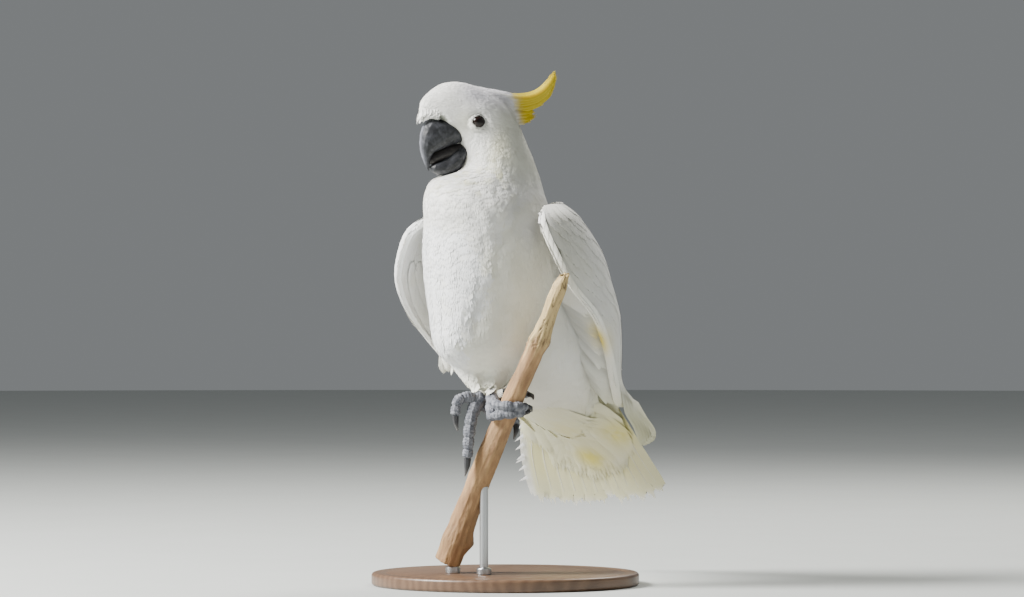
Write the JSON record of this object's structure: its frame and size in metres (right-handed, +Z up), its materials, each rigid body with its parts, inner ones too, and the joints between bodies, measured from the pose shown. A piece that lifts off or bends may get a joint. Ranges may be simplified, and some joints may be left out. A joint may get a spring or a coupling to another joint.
{
  "type": "sulphur-crested cockatoo model",
  "caption": "Life-size still model of a white cockatoo with a yellow crest, gripping a cut perch on a round display stand.",
  "frame": {"origin": "centre of the display stand's underside", "axes": "+Z up; the bird's body faces -Y and its left side is +X"},
  "size_m": [0.25, 0.2968, 0.484],
  "materials": {
    "white_feather": "soft matt white plumage, faintly yellow underneath",
    "yellow_feather": "soft matt sulphur-yellow plumes",
    "bill": "charcoal-grey horn with a slight gloss",
    "leg_skin": "dark grey scaly skin",
    "claw": "dark grey horn",
    "eye": "wet, glossy, near-black brown",
    "perch_wood": "bare weathered stick",
    "stand_wood": "dark stained wood, satin lacquer",
    "stand_steel": "plain steel rod"
  },
  "bodies": {
    "root": {"bill_lower": "bill", "bill_upper": "bill", "claw_left_1": "claw", "claw_left_2": "claw", "claw_left_3": "claw", "claw_left_4": "claw", "claw_right_1": "claw", "claw_right_2": "claw", "claw_right_3": "claw", "claw_right_4": "claw", "crest_fan": "yellow_feather", "crest_horn": "yellow_feather", "eye_left": "eye", "eye_right": "eye", "foot_left": "leg_skin", "foot_right": "leg_skin", "head": "white_feather", "neck": "white_feather", "perch": "perch_wood", "stand_base": "stand_wood", "stand_rod_high": "stand_steel", "stand_rod_low": "stand_steel", "tail": "white_feather", "thigh_left": "white_feather", "thigh_right": "white_feather", "toe_left_1": "leg_skin", "toe_left_2": "leg_skin", "toe_left_3": "leg_skin", "toe_left_4": "leg_skin", "toe_right_1": "leg_skin", "toe_right_2": "leg_skin", "toe_right_3": "leg_skin", "toe_right_4": "leg_skin", "tongue": "bill", "trunk": "white_feather", "wing_left": "white_feather", "wing_right": "white_feather", "wing_tip_left": "white_feather", "wing_tip_right": "white_feather"}
  },
  "joints": []
}
